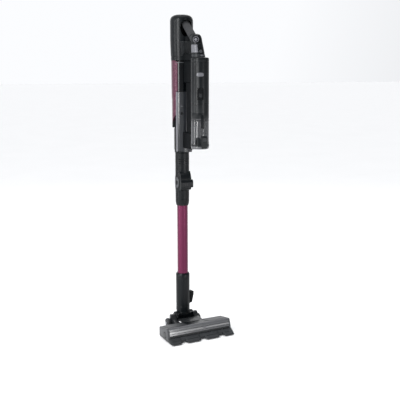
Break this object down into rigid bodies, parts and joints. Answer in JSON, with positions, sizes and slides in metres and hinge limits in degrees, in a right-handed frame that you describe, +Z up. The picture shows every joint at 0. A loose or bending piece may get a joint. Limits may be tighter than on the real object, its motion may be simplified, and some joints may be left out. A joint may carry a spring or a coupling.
{
  "type": "cordless stick vacuum",
  "caption": "Upright cordless stick vacuum with a motorised floor nozzle, tilting neck, magenta wand and a handheld unit with battery column, grip and clear dust cup.",
  "frame": {"origin": "centre of the bounding box, on the floor plane that the wheels stand on", "axes": "+Z up along the stick, -Y forward out of the nozzle, +X to the right seen from the front"},
  "size_m": [0.25, 0.22, 1.13],
  "materials": {
    "black_plastic": "satin moulded plastic with a fine grain",
    "grey_plastic": "satin moulded plastic, warm grey",
    "gloss_black": "polished black plastic",
    "smoked_gloss": "smoked glossy plastic",
    "smoked_clear": "clear smoked plastic",
    "magenta_tube": "magenta satin anodised tube",
    "magenta_plastic": "magenta metallic lacquer",
    "lilac_trim": "light lilac-grey satin",
    "steel": "turned steel",
    "motor_case": "cast aluminium",
    "rubber": "soft matt rubber",
    "bristle": "nylon bristle rows on a soft roller",
    "filter_cloth": "pleated filter cloth",
    "circuit_board": "circuit board"
  },
  "bodies": {
    "floor_head": {"sole_plate": "black_plastic", "nozzle_cover": "black_plastic", "brush_window": "smoked_gloss", "left_end_cap": "grey_plastic", "right_end_cap": "grey_plastic", "front_bumper": "black_plastic", "brush_chamber_wall": "black_plastic", "brush_motor": "steel", "drive_belt": "rubber", "rear_carriage": "black_plastic", "pivot_shroud": "black_plastic", "suction_duct": "rubber", "left_wheel_axle": "steel", "right_wheel_axle": "steel", "left_pivot_pin": "grey_plastic", "right_pivot_pin": "grey_plastic"},
    "brush": {"brush_roll": "bristle"},
    "motor_shaft": {"motor_pulley": "steel"},
    "left_wheel": {"left_wheel": "rubber"},
    "right_wheel": {"right_wheel": "rubber"},
    "left_roller": {"left_sole_roller": "rubber"},
    "right_roller": {"right_sole_roller": "rubber"},
    "neck": {"neck_yoke": "black_plastic"},
    "stick": {"lower_sleeve": "black_plastic", "lower_lever_pin": "steel"},
    "lower_lever": {"lower_release_lever": "black_plastic"},
    "wand": {"wand_tube": "magenta_tube", "upper_adapter": "black_plastic"},
    "pedal": {"handheld_release_pedal": "black_plastic"},
    "handheld": {"column_chassis": "black_plastic", "front_panel": "smoked_gloss", "rear_cover": "magenta_plastic", "control_board": "circuit_board", "head_shell": "black_plastic", "exhaust_grille": "grey_plastic", "exhaust_filter": "filter_cloth", "grip": "rubber", "neck_housing": "gloss_black", "neck_trim": "lilac_trim", "elbow_cap": "lilac_trim", "canister_sleeve": "black_plastic", "bridge_housing": "black_plastic", "docking_duct": "black_plastic", "canister_web": "black_plastic", "cup_seal": "rubber", "pre_motor_filter": "filter_cloth", "fan_motor": "motor_case"},
    "battery": {"battery_pack": "magenta_plastic"},
    "battery_latch": {"battery_latch": "black_plastic"},
    "dust_cup": {"dust_cup": "smoked_clear", "cyclone_shroud": "motor_case", "cyclone_cone": "grey_plastic", "lid_hinge_pin": "steel", "lid_latch_pin": "steel"},
    "cup_lid": {"cup_lid": "smoked_clear"},
    "lid_latch": {"lid_latch": "black_plastic"},
    "cup_release": {"cup_release_button": "black_plastic"},
    "power_button": {"power_button": "lilac_trim"},
    "mode_button": {"mode_button": "lilac_trim"},
    "impeller": {"impeller": "grey_plastic"}
  },
  "joints": [
    {"name": "neck_tilt", "type": "hinge", "parent": "floor_head", "child": "neck", "pos_m": [0, 0.064, 0.038], "axis": [-1, 0, 0], "range_deg": [0, 75]},
    {"name": "neck_swivel", "type": "hinge", "parent": "neck", "child": "stick", "pos_m": [0, 0.07, 0.07], "axis": [0, 0, 1], "range_deg": [-60, 60]},
    {"name": "wand_lift", "type": "slide", "parent": "stick", "child": "wand", "axis": [0, 0, 1], "range_m": [0, 0.08]},
    {"name": "handheld_lift", "type": "slide", "parent": "wand", "child": "handheld", "axis": [0, 0, 1], "range_m": [0, 0.04]},
    {"name": "lower_lever_press", "type": "hinge", "parent": "stick", "child": "lower_lever", "pos_m": [0.0288, 0.07, 0.092], "axis": [0, -1, 0], "range_deg": [0, 7], "stiffness_Nm_per_rad": 0.3, "springref_deg": -8.59},
    {"name": "pedal_press", "type": "slide", "parent": "wand", "child": "pedal", "axis": [0, 0, -1], "range_m": [0, 0.004], "stiffness_N_per_m": 400, "springref_m": -0.003},
    {"name": "brush_spin", "type": "hinge", "parent": "floor_head", "child": "brush", "pos_m": [0, -0.048, 0.022], "axis": [1, 0, 0], "continuous": true},
    {"name": "motor_shaft_spin", "type": "hinge", "parent": "floor_head", "child": "motor_shaft", "pos_m": [0, -0.0105, 0.0255], "axis": [1, 0, 0], "continuous": true},
    {"name": "left_wheel_spin", "type": "hinge", "parent": "floor_head", "child": "left_wheel", "pos_m": [-0.0615, 0.07, 0.017], "axis": [1, 0, 0], "continuous": true},
    {"name": "right_wheel_spin", "type": "hinge", "parent": "floor_head", "child": "right_wheel", "pos_m": [0.0615, 0.07, 0.017], "axis": [1, 0, 0], "continuous": true},
    {"name": "left_roller_spin", "type": "hinge", "parent": "floor_head", "child": "left_roller", "pos_m": [-0.037, -0.088, 0.005], "axis": [1, 0, 0], "continuous": true},
    {"name": "right_roller_spin", "type": "hinge", "parent": "floor_head", "child": "right_roller", "pos_m": [0.037, -0.088, 0.005], "axis": [1, 0, 0], "continuous": true},
    {"name": "battery_slide", "type": "slide", "parent": "handheld", "child": "battery", "axis": [0, 1, 0], "range_m": [0, 0.045]},
    {"name": "battery_latch_press", "type": "slide", "parent": "battery", "child": "battery_latch", "axis": [0, 0, 1], "range_m": [0, 0.0025], "stiffness_N_per_m": 300, "springref_m": -0.002},
    {"name": "cup_drop", "type": "slide", "parent": "handheld", "child": "dust_cup", "axis": [0, 0, -1], "range_m": [0, 0.06]},
    {"name": "lid_swing", "type": "hinge", "parent": "dust_cup", "child": "cup_lid", "pos_m": [0, -0.0408, 0.6935], "axis": [1, 0, 0], "range_deg": [0, 85]},
    {"name": "lid_latch_press", "type": "hinge", "parent": "dust_cup", "child": "lid_latch", "pos_m": [0, -0.1078, 0.701], "axis": [-1, 0, 0], "range_deg": [0, 4], "stiffness_Nm_per_rad": 0.2, "springref_deg": -8.59},
    {"name": "cup_release_press", "type": "slide", "parent": "handheld", "child": "cup_release", "axis": [0.4226, 0.9063, 0], "range_m": [0, 0.0015], "stiffness_N_per_m": 300, "springref_m": -0.002},
    {"name": "power_press", "type": "slide", "parent": "handheld", "child": "power_button", "axis": [0, 0.9806, -0.1961], "range_m": [0, 0.0015], "stiffness_N_per_m": 300, "springref_m": -0.002},
    {"name": "mode_press", "type": "slide", "parent": "handheld", "child": "mode_button", "axis": [0, 0.9806, -0.1961], "range_m": [0, 0.0015], "stiffness_N_per_m": 300, "springref_m": -0.002},
    {"name": "impeller_spin", "type": "hinge", "parent": "handheld", "child": "impeller", "pos_m": [0, -0.075, 0.85], "axis": [0, 0, 1], "continuous": true}
  ],
  "couplings": [
    {"joint": "motor_shaft_spin", "follows": "brush_spin", "ratio": 1.7708}
  ]
}
